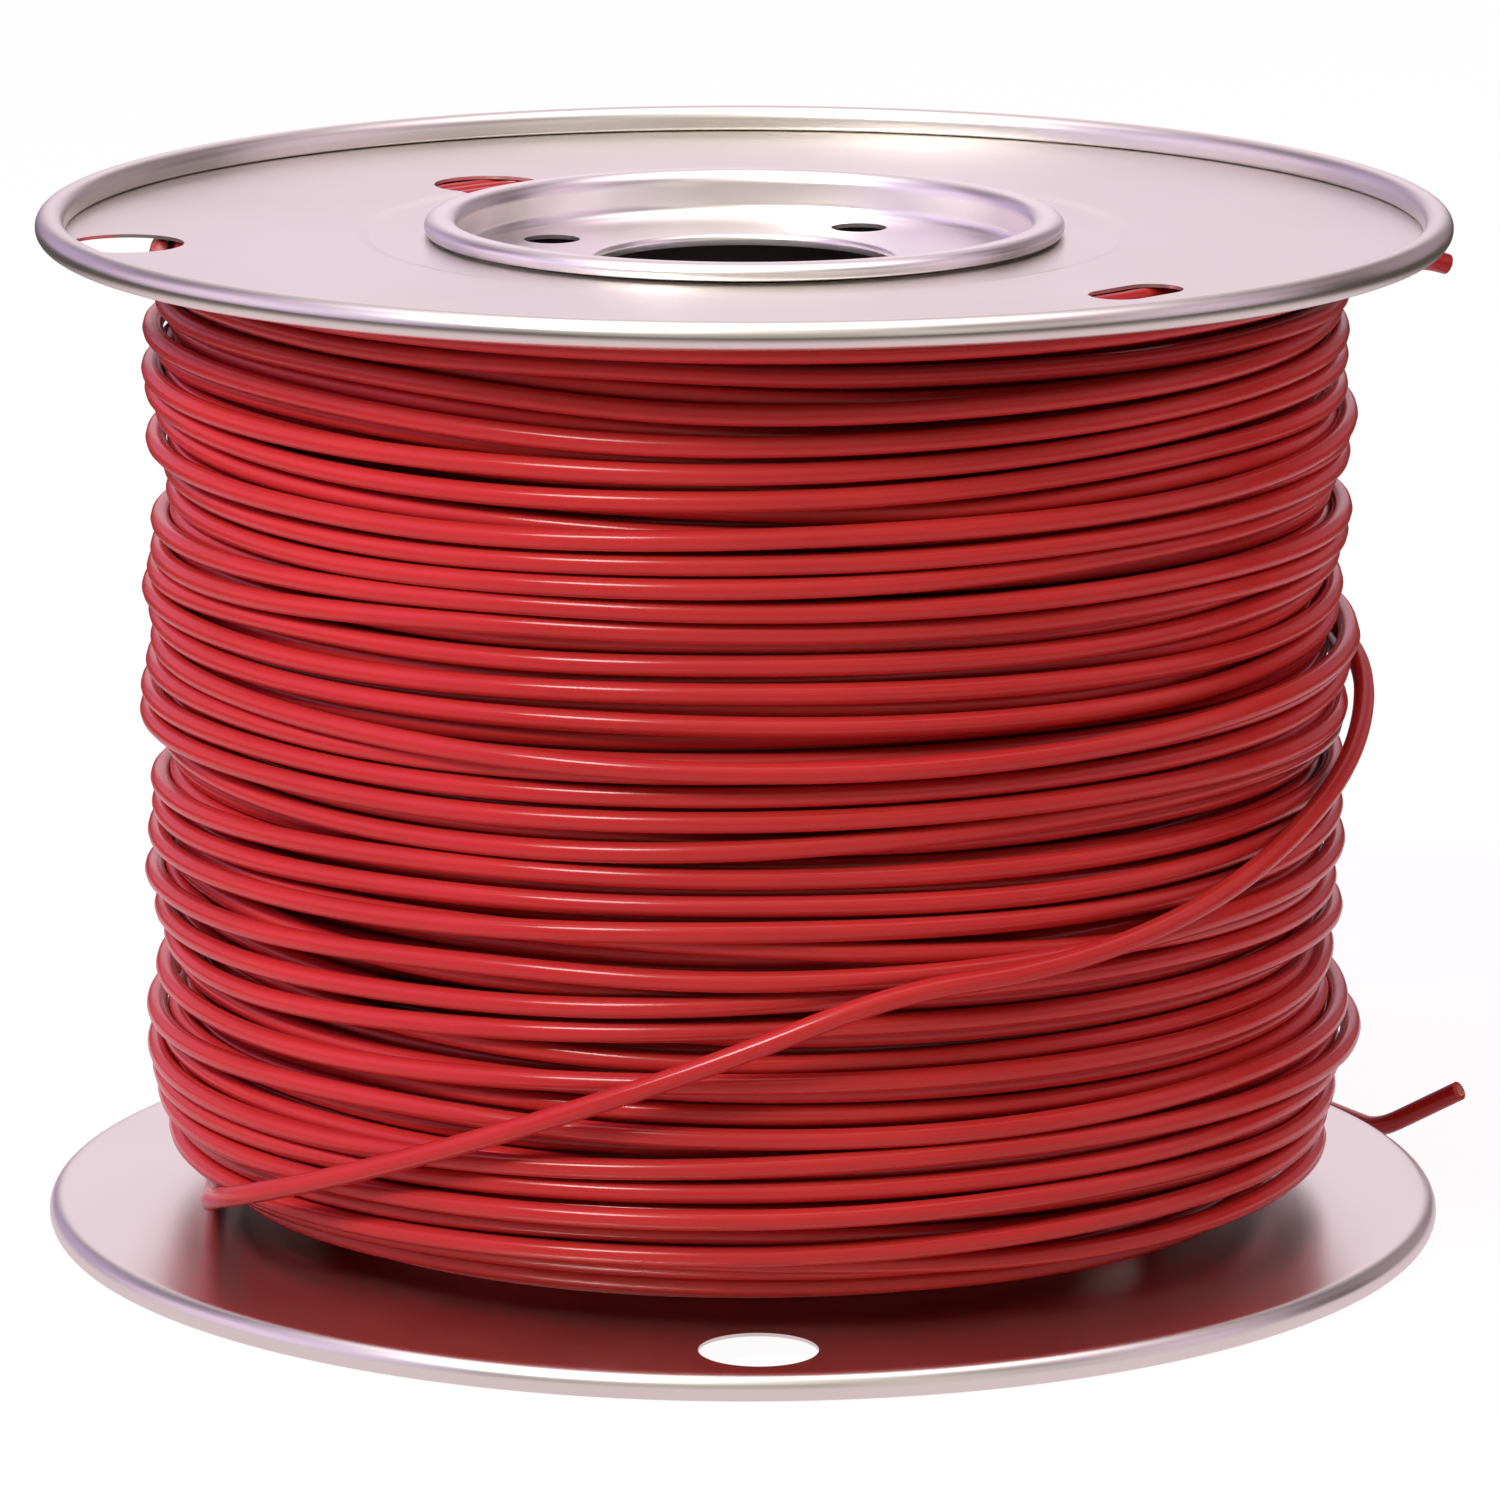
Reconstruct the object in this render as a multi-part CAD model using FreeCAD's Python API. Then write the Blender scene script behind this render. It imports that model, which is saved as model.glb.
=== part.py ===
import FreeCAD, Part
import math
import os
from FreeCAD import Vector

# Wire spool, in millimetres: two pressed steel flanges are seamed to a steel
# barrel by two arbor plates, and the spool is wound full of insulated wire.
# +Z is up along the axis. The spool stands on the rolled rim of its bottom
# flange, and the origin is on the axis, level with that rim's lowest point.

# Flange, one stamping that is used twice
flange_diameter = 165.0
flange_sheet = 0.4
rim_curl_diameter = 3.4
curl_edge_gap = 0.35
traverse = 114.3
hub_seat_drop = 0.3
hub_seat_margin = 6.9
hub_seat_step = 1.4
hub_seat_bend = 1.0

# Wire holes of the flange, with azimuths in degrees: the rim hole lies just
# inside the curl, the tuck slot is set in from the flange's edge, and the
# start hole's middle lies a little outside the hub seat's step.
rim_hole_diameter = 13.5
rim_hole_margin = 0.2
rim_hole_azimuth = 188.0
tuck_slot_length = 12.5
tuck_slot_width = 7.0
tuck_slot_inset = 21.0
tuck_slot_azimuth = -44.5
start_hole_diameter = 13.0
start_hole_offset = 2.5
start_hole_azimuth = 131.0
bottom_flange_turn = 99.4

# Barrel, a rolled and lock-seamed tube with a lip and a shoulder bead at each end
barrel_diameter = 68.6
barrel_sheet = 0.4
flange_bore_clearance = 0.1
shoulder_bead_height = 0.8
barrel_bend = 0.4
lip_bend = 0.5
lock_seam_width = 4.0
lock_seam_thickness = 0.8
lock_seam_azimuth = 180.0
lock_seam_end_gap = 1.0

# Arbor plate, whose rim wraps the barrel's lip in a double seam
plate_sheet = 0.5
plate_fit = 0.05
seam_clearance = 0.05
seam_width = 3.3
seam_height = 2.3
hem_bend = 0.45
hem_straight = 0.1
lip_end_gap = 0.5
hook_start_gap = 0.9
shoulder_arc = 1.15
recess_depth = 2.9
recess_fillet = 1.75
arbor_hole_diameter = 35.0
arbor_collar_length = 0.6
arbor_collar_bend = 0.45
drive_hole_diameter = 6.6
drive_hole_wall_distance = 6.85
drive_hole_count = 4
drive_hole_azimuth = 59.0

# Wire and winding
wire_diameter = 2.45
winding_diameter = 139.2
turn_gap = 0.07
winding_end_gap = 0.1
core_clearance = 0.05
groove_depth = 0.6
foot_setbacks = (8.8, 6.7, 3.0, 0.8)  # of the lowest turns, from the winding's radius

# Loose wire: azimuth in degrees, radius and height of each point of its route.
# The tail leaves the winding at the right, crosses its front, goes round the
# foot and over the bottom rim behind, and follows that rim to its bare end.
tail_route = (
    (46, 72.4, 71.4),
    (26, 73.2, 69.4),
    (6, 73.6, 65.2),
    (-14, 73.7, 59.4),
    (-34, 73.7, 53.1),
    (-50, 73.3, 48.6),
    (-64, 73.3, 45.6),
    (-77, 73.3, 44.6),
    (-92, 73.5, 36.6),
    (-110, 73.7, 27.7),
    (-128, 73.6, 19.8),
    (-142, 73.4, 13.9),
    (-153, 70.2, 9.5),
    (-163, 65.2, 5.6),
    (-175, 62.8, 4.75),
    (-190, 63.4, 4.75),
    (-204, 66.6, 5.1),
    (-215, 72.6, 7.4),
    (-224, 80.4, 8.6),
    (-232, 87.6, 6.6),
    (-243, 90.2, 2.6),
    (-257, 87.6, 1.5),
    (-272, 86.6, 1.4),
    (-288, 86.0, 1.4),
    (-303, 85.4, 1.4),
    (-316, 85.0, 1.4),
    (-327, 84.8, 1.4),
    (-335, 86.8, 1.6),
    (-340.5, 92.7, 7.0),
)
# The other bare end springs off the top turn, close under the top flange.
stub_route = (
    (-72, 71.6, 115.9),
    (-55, 71.9, 115.9),
    (-38, 72.0, 115.9),
    (-22, 74.6, 115.8),
    (-8, 81.6, 115.9),
)
corner_share = 0.45

# Places that follow from the sizes above
flange_radius = flange_diameter / 2
barrel_radius = barrel_diameter / 2
bottom_inner_face = rim_curl_diameter
top_inner_face = bottom_inner_face + traverse
middle_height = bottom_inner_face + traverse / 2
seat_height = flange_sheet - hub_seat_drop
hub_bead_radius = barrel_radius + seam_width
wall_mid_radius = barrel_radius - barrel_sheet - plate_fit - plate_sheet / 2
wall_face_radius = wall_mid_radius - plate_sheet / 2
web_mid_height = -recess_depth - plate_sheet / 2
drive_circle_radius = wall_face_radius - drive_hole_wall_distance
step_radius = hub_bead_radius + hub_seat_margin
rim_hole_radius = flange_radius - rim_curl_diameter - rim_hole_margin - rim_hole_diameter / 2
tuck_slot_radius = flange_radius - tuck_slot_inset
start_hole_radius = step_radius + start_hole_offset
bore_radius = arbor_hole_diameter / 2

AXIS = Vector(0, 0, 1)
CENTRE = Vector(0, 0, 0)
SHORTEST_LINE = 1e-4


def polar(azimuth, radius, height=0.0):
    angle = math.radians(azimuth)
    return Vector(radius * math.cos(angle), radius * math.sin(angle), height)


def line(start, end):
    return Part.LineSegment(start, end).toShape()


def bent_side(corners, shift):
    """Edges of the line beside a bent path, shift to its left, and its two ends.

    corners holds (radius, height, bend radius) on the middle of the sheet."""
    points = [Vector(radius, 0, height) for radius, height, bend in corners]
    steps = [(b - a).normalize() for a, b in zip(points, points[1:])]
    lefts = [Vector(-step.z, 0, step.x) for step in steps]
    edges = []
    first = here = points[0] + lefts[0] * shift
    for k in range(1, len(points) - 1):
        bend = corners[k][2]
        turn = steps[k - 1].getAngle(steps[k])
        side = 1 if steps[k].dot(lefts[k - 1]) > 0 else -1
        reach = bend * math.tan(turn / 2)
        centre = points[k] - steps[k - 1] * reach + lefts[k - 1] * (side * bend)
        radius = bend - side * shift
        start = centre - lefts[k - 1] * (side * radius)
        end = centre - lefts[k] * (side * radius)
        middle = centre + (points[k] - centre).normalize() * radius
        if here.distanceToPoint(start) > SHORTEST_LINE:
            edges.append(line(here, start))
        edges.append(Part.Arc(start, middle, end).toShape())
        here = end
    last = points[-1] + lefts[-1] * shift
    if here.distanceToPoint(last) > SHORTEST_LINE:
        edges.append(line(here, last))
    return edges, first, last


def turned_sheet(corners, sheet):
    """Solid of a bent sheet turned about the axis."""
    left_edges, left_first, left_last = bent_side(corners, sheet / 2)
    right_edges, right_first, right_last = bent_side(corners, -sheet / 2)
    outline = left_edges + [line(left_last, right_last)]
    outline += right_edges[::-1] + [line(right_first, left_first)]
    return Part.Face(Part.Wire(outline)).revolve(CENTRE, AXIS, 360)


def post(azimuth, radius, diameter, low, high):
    return Part.makeCylinder(diameter / 2, high - low, polar(azimuth, radius, low), AXIS)


def slot_post(azimuth, radius, length, width, low, high):
    """Upright post of a slot that runs round the axis."""
    straight = length - width
    block = Part.makeBox(width, straight, high - low, Vector(-width / 2, -straight / 2, low))
    for side in (-1, 1):
        end = Vector(0, side * straight / 2, low)
        block = block.fuse(Part.makeCylinder(width / 2, high - low, end, AXIS))
    block = block.removeSplitter()
    block.translate(Vector(radius, 0, 0))
    block.rotate(CENTRE, AXIS, azimuth)
    return block


def flange():
    """Flange with its inner face at height 0 and its rim curled upwards."""
    curl_mid = (rim_curl_diameter - flange_sheet) / 2
    edge_mid = flange_radius - flange_sheet / 2
    face_mid = flange_sheet / 2
    seat_mid = face_mid - hub_seat_drop
    corners = (
        (barrel_radius + flange_bore_clearance, seat_mid, 0),
        (step_radius - hub_seat_step / 2, seat_mid, hub_seat_bend),
        (step_radius + hub_seat_step / 2, face_mid, hub_seat_bend),
        (edge_mid, face_mid, curl_mid),
        (edge_mid, face_mid + 2 * curl_mid, curl_mid),
        (edge_mid - 2 * curl_mid, face_mid + 2 * curl_mid, curl_mid),
        (edge_mid - 2 * curl_mid, flange_sheet + curl_edge_gap, 0),
    )
    low, high = -2 * hub_seat_drop - flange_sheet, 2 * flange_sheet
    cutters = [
        post(rim_hole_azimuth, rim_hole_radius, rim_hole_diameter, low, high),
        post(start_hole_azimuth, start_hole_radius, start_hole_diameter, low, high),
        slot_post(tuck_slot_azimuth, tuck_slot_radius, tuck_slot_length, tuck_slot_width, low, high),
    ]
    return turned_sheet(corners, flange_sheet).cut(cutters)


def arbor_plate():
    """Arbor plate with the flange's seat at height 0."""
    top_mid = seam_height - plate_sheet / 2
    hook_mid = seam_clearance + plate_sheet / 2
    outer_mid = hub_bead_radius - plate_sheet / 2
    bead_arc = top_mid - hook_mid - hem_bend - hem_straight
    collar_mid = bore_radius + plate_sheet / 2
    collar_end = web_mid_height - arbor_collar_bend - arbor_collar_length
    corners = (
        (collar_mid, collar_end, 0),
        (collar_mid, web_mid_height, arbor_collar_bend),
        (wall_mid_radius, web_mid_height, recess_fillet),
        (wall_mid_radius, top_mid, shoulder_arc),
        (outer_mid, top_mid, bead_arc),
        (outer_mid, hook_mid, hem_bend),
        (barrel_radius + hook_start_gap, hook_mid, 0),
    )
    holes = [
        post(
            drive_hole_azimuth + 360 * k / drive_hole_count,
            drive_circle_radius,
            drive_hole_diameter,
            web_mid_height - plate_sheet,
            web_mid_height + plate_sheet,
        )
        for k in range(drive_hole_count)
    ]
    return turned_sheet(corners, plate_sheet).cut(holes)


def barrel():
    """Barrel about the spool's middle height."""
    seat = top_inner_face + seat_height - middle_height
    mid_radius = barrel_radius - barrel_sheet / 2
    lip_mid = seat + 2 * seam_clearance + plate_sheet + barrel_sheet / 2
    lip_radius = hub_bead_radius - plate_sheet - lip_end_gap
    bead_start = seat - flange_sheet - seam_clearance - barrel_bend * math.tan(math.pi / 8)
    upper = (
        (mid_radius, bead_start - 2 * shoulder_bead_height, barrel_bend),
        (mid_radius + shoulder_bead_height, bead_start - shoulder_bead_height, barrel_bend),
        (mid_radius, bead_start, barrel_bend),
        (mid_radius, lip_mid, lip_bend),
        (lip_radius, lip_mid, 0),
    )
    lower = tuple((radius, -height, bend) for radius, height, bend in reversed(upper))
    tube = turned_sheet(lower + upper, barrel_sheet)
    seam_top = seat + web_mid_height - plate_sheet / 2 - lock_seam_end_gap
    inner_radius = barrel_radius - barrel_sheet
    strip = Part.makeBox(
        lock_seam_thickness + barrel_sheet,
        lock_seam_width,
        2 * seam_top,
        Vector(inner_radius - lock_seam_thickness, -lock_seam_width / 2, -seam_top),
    )
    strip.rotate(CENTRE, AXIS, lock_seam_azimuth)
    strip = strip.common(Part.makeCylinder(mid_radius, 2 * seam_top, Vector(0, 0, -seam_top)))
    return tube.fuse(strip).removeSplitter()


def winding():
    """Wound wire as one ring, with a scallop for each turn of its outer layer."""
    low = bottom_inner_face + hub_seat_drop + winding_end_gap
    high = top_inner_face - hub_seat_drop - winding_end_gap
    turns = int((high - low) / (wire_diameter + turn_gap))
    pitch = (high - low) / turns
    crests = [winding_diameter / 2 - setback for setback in foot_setbacks]
    crests += [winding_diameter / 2] * (turns - len(crests))
    relief_radius = barrel_radius + shoulder_bead_height + core_clearance
    relief_height = 2 * shoulder_bead_height + 2 * barrel_bend + seam_clearance
    inner_radius = barrel_radius + core_clearance
    points = [
        Vector(inner_radius, 0, low + relief_height),
        Vector(relief_radius, 0, low + relief_height),
        Vector(relief_radius, 0, low),
        Vector(crests[0] - groove_depth, 0, low),
    ]
    edges = [line(a, b) for a, b in zip(points, points[1:])]
    here = points[-1]
    for k, crest in enumerate(crests):
        start = Vector(crest - groove_depth, 0, low + k * pitch)
        middle = Vector(crest, 0, low + (k + 0.5) * pitch)
        end = Vector(crest - groove_depth, 0, low + (k + 1) * pitch)
        if here.distanceToPoint(start) > SHORTEST_LINE:
            edges.append(line(here, start))
        edges.append(Part.Arc(start, middle, end).toShape())
        here = end
    points = [
        here,
        Vector(relief_radius, 0, high),
        Vector(relief_radius, 0, high - relief_height),
        Vector(inner_radius, 0, high - relief_height),
        Vector(inner_radius, 0, low + relief_height),
    ]
    edges += [line(a, b) for a, b in zip(points, points[1:])]
    return Part.Face(Part.Wire(edges)).revolve(CENTRE, AXIS, 360)


def loose_wire(route, name):
    """Round wire along straight runs and tangent arcs."""
    points = [polar(azimuth, radius, height) for azimuth, radius, height in route]
    steps = [(b - a).normalize() for a, b in zip(points, points[1:])]
    lengths = [a.distanceToPoint(b) for a, b in zip(points, points[1:])]
    edges = []
    here = points[0]
    radii = []
    for k in range(1, len(points) - 1):
        turn = steps[k - 1].getAngle(steps[k])
        reach = corner_share * min(lengths[k - 1], lengths[k])
        radius = reach / math.tan(turn / 2)
        start = points[k] - steps[k - 1] * reach
        end = points[k] + steps[k] * reach
        inward = (steps[k] - steps[k - 1]).normalize()
        middle = points[k] + inward * (radius / math.cos(turn / 2) - radius)
        edges.append(line(here, start))
        edges.append(Part.Arc(start, middle, end).toShape())
        here = end
        radii.append(round(radius, 1))
    edges.append(line(here, points[-1]))
    path = Part.Wire(edges)
    section = Part.Wire([Part.Circle(points[0], steps[0], wire_diameter / 2).toShape()])
    tube = path.makePipeShell([section], True, False)
    share = tube.Volume / (math.pi * wire_diameter**2 / 4 * path.Length)
    print("%s: length %.1f, volume share %.4f, arc radii %s" % (name, path.Length, share, radii))
    return tube


def on_top(shape, height):
    shape.translate(Vector(0, 0, height))
    return shape


def at_bottom(shape, height, turn):
    """A top piece turned over, so that what faced up faces down."""
    shape.rotate(CENTRE, Vector(1, 0, 0), 180)
    shape.rotate(CENTRE, AXIS, turn)
    shape.translate(Vector(0, 0, height))
    return shape


nodes = {
    "top_flange": on_top(flange(), top_inner_face),
    "bottom_flange": at_bottom(flange(), bottom_inner_face, bottom_flange_turn),
    "barrel": on_top(barrel(), middle_height),
    "top_arbor_plate": on_top(arbor_plate(), top_inner_face + seat_height),
    "bottom_arbor_plate": at_bottom(
        arbor_plate(), bottom_inner_face - seat_height, 2 * drive_hole_azimuth
    ),
    "wire_winding": winding(),
    "wire_tail": loose_wire(tail_route, "wire_tail"),
    "wire_start": loose_wire(stub_route, "wire_start"),
}

os.makedirs("parts", exist_ok=True)
for name, shape in nodes.items():
    shape.exportStep("parts/%s.step" % name)
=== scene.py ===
import math

import bpy
import numpy as np
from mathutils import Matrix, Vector


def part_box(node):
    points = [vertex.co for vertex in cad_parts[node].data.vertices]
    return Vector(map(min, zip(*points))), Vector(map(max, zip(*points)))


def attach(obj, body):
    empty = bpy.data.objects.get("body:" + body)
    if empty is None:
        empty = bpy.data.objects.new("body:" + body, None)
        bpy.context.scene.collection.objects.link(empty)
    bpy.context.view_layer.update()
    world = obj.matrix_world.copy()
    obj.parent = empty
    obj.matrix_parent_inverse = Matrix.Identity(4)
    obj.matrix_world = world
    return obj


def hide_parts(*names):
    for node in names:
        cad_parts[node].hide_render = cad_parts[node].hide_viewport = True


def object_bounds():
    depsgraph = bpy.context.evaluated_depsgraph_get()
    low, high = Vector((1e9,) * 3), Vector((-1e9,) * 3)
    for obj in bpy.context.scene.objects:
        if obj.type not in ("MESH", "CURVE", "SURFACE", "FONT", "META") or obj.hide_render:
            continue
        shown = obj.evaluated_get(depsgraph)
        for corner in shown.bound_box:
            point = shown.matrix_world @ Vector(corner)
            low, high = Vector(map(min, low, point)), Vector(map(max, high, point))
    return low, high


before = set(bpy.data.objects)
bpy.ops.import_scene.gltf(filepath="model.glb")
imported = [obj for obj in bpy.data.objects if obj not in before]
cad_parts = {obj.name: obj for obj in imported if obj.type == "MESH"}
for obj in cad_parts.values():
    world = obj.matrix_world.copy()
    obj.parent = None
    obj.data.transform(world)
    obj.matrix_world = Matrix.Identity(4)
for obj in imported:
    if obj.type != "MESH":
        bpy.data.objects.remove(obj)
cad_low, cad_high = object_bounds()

# Wire spool, in metres. The flanges and the arbor plates are bent sheets turned
# about the axis, and the barrel is the CAD model's own mesh. The wound wire is
# laid turn by turn, and the two free ends of wire are cords.

# Camera, where the photograph was taken from
CAMERA_PLACE = (0, -1.04541, 0.2842)
CAMERA_TILT = math.radians(77.692)
CAMERA_ROLL = -0.001514
CAMERA_TURN = -0.0003955
CAMERA_LENS = 217.5

# Small distances: a hair's breadth, a slit between two faces, and the distances
# within which a vertex counts as found and two vertices become one
HAIR = 0.0001
SLIT = 0.00004
SAME_PLACE = 0.00001
MERGED = 0.000001

# Wire
WIRE = 0.00245
WIRE_SIDES = 12
WIRE_CREASE = math.radians(50)

# Copper strands at the cut ends: number and radius of each ring of strands, and
# the turn of a ring for each strand in it, in degrees
STRAND_RINGS = ((1, 0), (6, 0.00029), (12, 0.00057))
RING_TURN = 9
STRAND = 0.00027
STRAND_PROUD = 0.00025
STRAND_SIDES = 10
STRAND_EDGE = STRAND / 8
STRAND_CREASE = math.radians(40)

# Routes of the free ends, as azimuth in degrees, radius and height of each point
TAIL_ROUTE = (
    (48, 0.0672, 0.0714),
    (28, 0.0712, 0.0702),
    (8, 0.0748, 0.0668),
    (-14, 0.0739, 0.0599),
    (-34, 0.0737, 0.0531),
    (-50, 0.0751, 0.0486),
    (-64, 0.0751, 0.0456),
    (-77, 0.0749, 0.0446),
    (-92, 0.0735, 0.0366),
    (-110, 0.0737, 0.0279),
    (-128, 0.0736, 0.0195),
    (-142, 0.0733, 0.0137),
    (-153, 0.0694, 0.0098),
    (-163, 0.0650, 0.0058),
    (-175, 0.0628, 0.00475),
    (-190, 0.0634, 0.00475),
    (-204, 0.0666, 0.0051),
    (-215, 0.0726, 0.0074),
    (-224, 0.0804, 0.0086),
    (-232, 0.0876, 0.0066),
    (-243, 0.0902, 0.0026),
    (-257, 0.0876, 0.0015),
    (-272, 0.0866, 0.0014),
    (-288, 0.086, 0.0014),
    (-303, 0.085, 0.0014),
    (-314, 0.0844, 0.0014),
    (-322, 0.0842, 0.0013),
    (-329, 0.084, 0.0013),
    (-333.5, 0.084, 0.0013),
    (-337.3, 0.0846, 0.0014),
    (-340, 0.0881, 0.0045),
    (-342.7, 0.0916, 0.0077),
)
START_ROUTE = (
    (-66, 0.0716, 0.1159),
    (-58, 0.0723, 0.1159),
    (-47, 0.0722, 0.116),
    (-36, 0.0722, 0.1161),
    (-26, 0.0724, 0.1162),
    (-15.6, 0.0725, 0.1163),
    (-7.6, 0.0757, 0.1163),
    (-3.6, 0.0795, 0.1158),
    (-2.7, 0.0818, 0.1149),
)

# Winding: open layers of wire, each laid over the ones before it, with this many
# stations in a turn
WINDING_SEED = 6
STATIONS = 160
LAYER_TURNS = (34, 34, 34, 33, 30.8)
SHOWN_LAYERS = 4
CORE_RADIUS = 0.0588
CORE_FOOT_RADIUS = 0.05
CORE_BORE = 0.0353
CORE_STEPS = 96
END_TURNS = 5
END_TURNS_RADIUS = 0.0467
LOWEST_TURN = 0.0062
OUTER_LOWEST_TURN = 0.0113
HIGHEST_TURN = 0.1162

# Spacing of the turns, and how they stray from it
TIGHT_PITCH = 0.98 * WIRE
GAP_TURNS = 0.7
GAP_BAR = -0.3
SWAY = 0.0014
SWAY_HEIGHT = 0.008
SWAY_LOBES = 4
WANDER = 0.0002
WANDER_TURNS = 0.5

# Sliding into the grooves, and the stiffness of the wire in stations
SLIDES = 14
SLIDE = 0.0002
GRIP = 0.3
LEEWAY = 0.0016
STIFFNESS = 4.0
BRIDGING = 8
NEAR_TURNS = 0.012

# Smoothing where one turn ends and the next begins, and the stations at both ends
# of a layer that it leaves alone
JOINT_REACH = 18
JOINT_POWER = 0.5
UNJOINED_START = STATIONS // 2
UNJOINED_END = STATIONS // 4

# Tail's hidden end, which the outer layer is wound over: the azimuths where it is
# hidden, and the azimuth, radius and height of places along it
TUCKED_AZIMUTHS = (14, 46)
TUCKED_PLACES = ((8, 0.0736, 0.0668), (28, 0.0714, 0.0702), (46, 0.0700, 0.0714))

# Ends of the outer layer, in stations
RUN_IN = 60
RUN_OUT = 50
LAST_STATIONS = 5

# Lean of every layer to the right
LEAN = 0.0004

# Slack turns of the outer layers: azimuth, height, their reaches and the lift
SLACK = (
    (-4, 0.0695, 40, 0.0030, 0.0014),
    (-4, 0.0228, 45, 0.0034, 0.0022),
    (-176, 0.1065, 35, 0.0030, 0.0010),
    (-176, 0.0620, 40, 0.0030, 0.0005),
    (-176, 0.0325, 35, 0.0030, 0.0016),
)
# Share of the lift that each layer takes, from the outermost in
SLACK_SHARES = (1, 0.85, 0.5)

# Spool, as the middle of its bent sheets. The edge of the rim's curl has its bend
# and its reach as shares of the curl's radius
TURN_STEPS = 192
BEND_STEPS = 7
SHEET_CREASE = math.radians(35)
FLANGE_SHEET = 0.0004
RIM_CURL = 0.0034
CURL_EDGE_BEND = 0.25
CURL_EDGE_REACH = 1.6
SEAT_DROP = 0.0003
SEAT_STEP_RADIUS = 0.0445
SEAT_STEP = 0.0014
SEAT_BEND = 0.001
BORE_RADIUS = 0.0344
FLAT_MARGIN = 0.0006
PLATE_SHEET = 0.0005
BOTTOM_FLANGE_TURN = 99.4
BOTTOM_PLATE_TURN = 118

# Arbor plate, from its collar out: radius, height over the flange's seat and bend
# of each corner
WEB_HEIGHT = -0.00315
ARBOR_PLATE = (
    (0.01775, -0.0042, 0),
    (0.01775, WEB_HEIGHT, 0.00045),
    (0.01895, WEB_HEIGHT, 0),
    (0.0312, WEB_HEIGHT, 0),
    (0.0336, WEB_HEIGHT, 0.00175),
    (0.0336, 0.00205, 0.0016),
    (0.0364, 0.00205, 0.0016),
    (0.03735, 0.0012, 0.001),
    (0.03695, 0.0006, 0.0003),
    (0.0359, 0.0006, 0.0002),
    (0.0355, 0.0003, 0.0002),
    (0.0349, 0.0003, 0),
)

# Holes: azimuth, radius of the place, length round the axis and width of a slot
RIM_HOLE = (188, 0.07215, 0.0135)
START_HOLE = (131, 0.047, 0.013)
TUCK_SLOT = (-44.5, 0.0615, 0.0125, 0.007)
DRIVE_HOLES = tuple((59 + 90 * k, 0.0265, 0.0066) for k in range(4))
CUTTER_HEIGHT = 0.004
HOLE_SIDES = 64

# Finishes: scale and two colours of the tone, scale, detail and range of the
# speckle in the roughness, metal or not, and gloss
FINISHES = {
    "red_insulation": (40, (0.42, 0.025, 0.0195), (0.47, 0.028, 0.022), 120, 1, 0.18, 0.23, 0, 0.27),
    "bare_copper": (900, (0.72, 0.33, 0.20), (0.80, 0.42, 0.27), 1500, 1, 0.28, 0.36, 1, 0.5),
    "dull_steel": (50, (0.14, 0.12, 0.12), (0.18, 0.16, 0.15), 80, 2, 0.45, 0.55, 1, 0.5),
    "flange_steel": (30, (0.80, 0.765, 0.71), (0.84, 0.80, 0.75), 60, 2, 0.285, 0.32, 1, 0.5),
    # The arbor plates' steel is the flange's steel painted lighter, which stands in for more light in
    # the hub's recess
    "plate_steel_with_painted_light": (30, (0.90, 0.85, 0.83), (0.93, 0.88, 0.865), 60, 2, 0.285, 0.32, 1, 0.5),
}
TONE_DETAIL = 3
TONE_SPREAD = (0.35, 0.65)
SPECKLE_SPREAD = (0.3, 0.7)

# White floor: its size and colour, and its own glow with the share of it that the
# camera sees
FLOOR_RADIUS = 5
FLOOR_SIDES = 96
FLOOR_COLOUR = (0.85, 0.85, 0.85)
FLOOR_ROUGHNESS = 0.9
FLOOR_GLOSS = 0.1
FLOOR_GLOW = 1.08
GLOW_SHARE = 0.85

# Room in the gloss: azimuth, elevation, inner and outer reach and colour of each wall
ROOM = (
    (-90, 12, 179, 180, (0.05, 0.05, 0.045)),
    (90, 12, 9, 23, (0.84, 0.70, 0.82)),
    (130, 12, 8, 26, (0.5, 0.36, 0.6)),
    (50, 12, 8, 26, (0.34, 0.24, 0.3)),
    (170, 12, 8, 28, (0.84, 0.64, 0.86)),
    (-10, 12, 8, 26, (0.72, 0.54, 0.7)),
    (-155, 12, 8, 26, (0.72, 0.58, 0.85)),
    (-47, 14, 8, 28, (0.5, 0.45, 0.46)),
    (-90, 14, 20, 46, (0.4, 0.36, 0.32)),
    (90, 45, 12, 32, (0.62, 0.5, 0.57)),
    (180, 50, 12, 34, (0.56, 0.4, 0.62)),
    (0, 50, 12, 34, (0.62, 0.45, 0.57)),
    (-90, 54, 12, 34, (0.6, 0.57, 0.54)),
    (0, 90, 15, 40, (1.8, 1.78, 1.8)),
)

# Plain light from all sides
AMBIENT = (0.09, 0.085, 0.07)

# Painted reflection of a table: to glossy rays the floor glows as a pale sheet under the spool, then as
# the dark table
PAINTED_SHEET_REACH = (0.16, 0.4)
PAINTED_SHEET_REFLECTION = (0.8, 0.66, 0.72)
PAINTED_TABLE_REFLECTION = (0.08, 0.07, 0.06)

# Lights: name, azimuth, elevation, distance, width, height, power, colour and
# whether the gloss mirrors it
LIGHTS = (
    ("window", -126, 42, 1.6, 0.45, 0.25, 16, (1, 0.98, 1), True),
    ("left_fill", -165, 35, 1.6, 0.8, 0.8, 17.5, (0.82, 0.35, 1), False),
    ("front_fill", -90, 34, 1.6, 1.2, 0.8, 1.4, (1, 0.9, 0.5), False),
    ("right_fill", 0, 35, 1.6, 0.8, 0.8, 12, (1, 0.55, 0.8), False),
    ("back_fill", 75, 30, 1.8, 1.2, 1.0, 5, (1, 0.8, 0.9), False),
    ("overhead", 90, 75, 1.8, 1.0, 1.0, 2, (1, 0.95, 0.95), False),
)


def deselect_all():
    bpy.ops.object.select_all(action="DESELECT")


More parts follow.
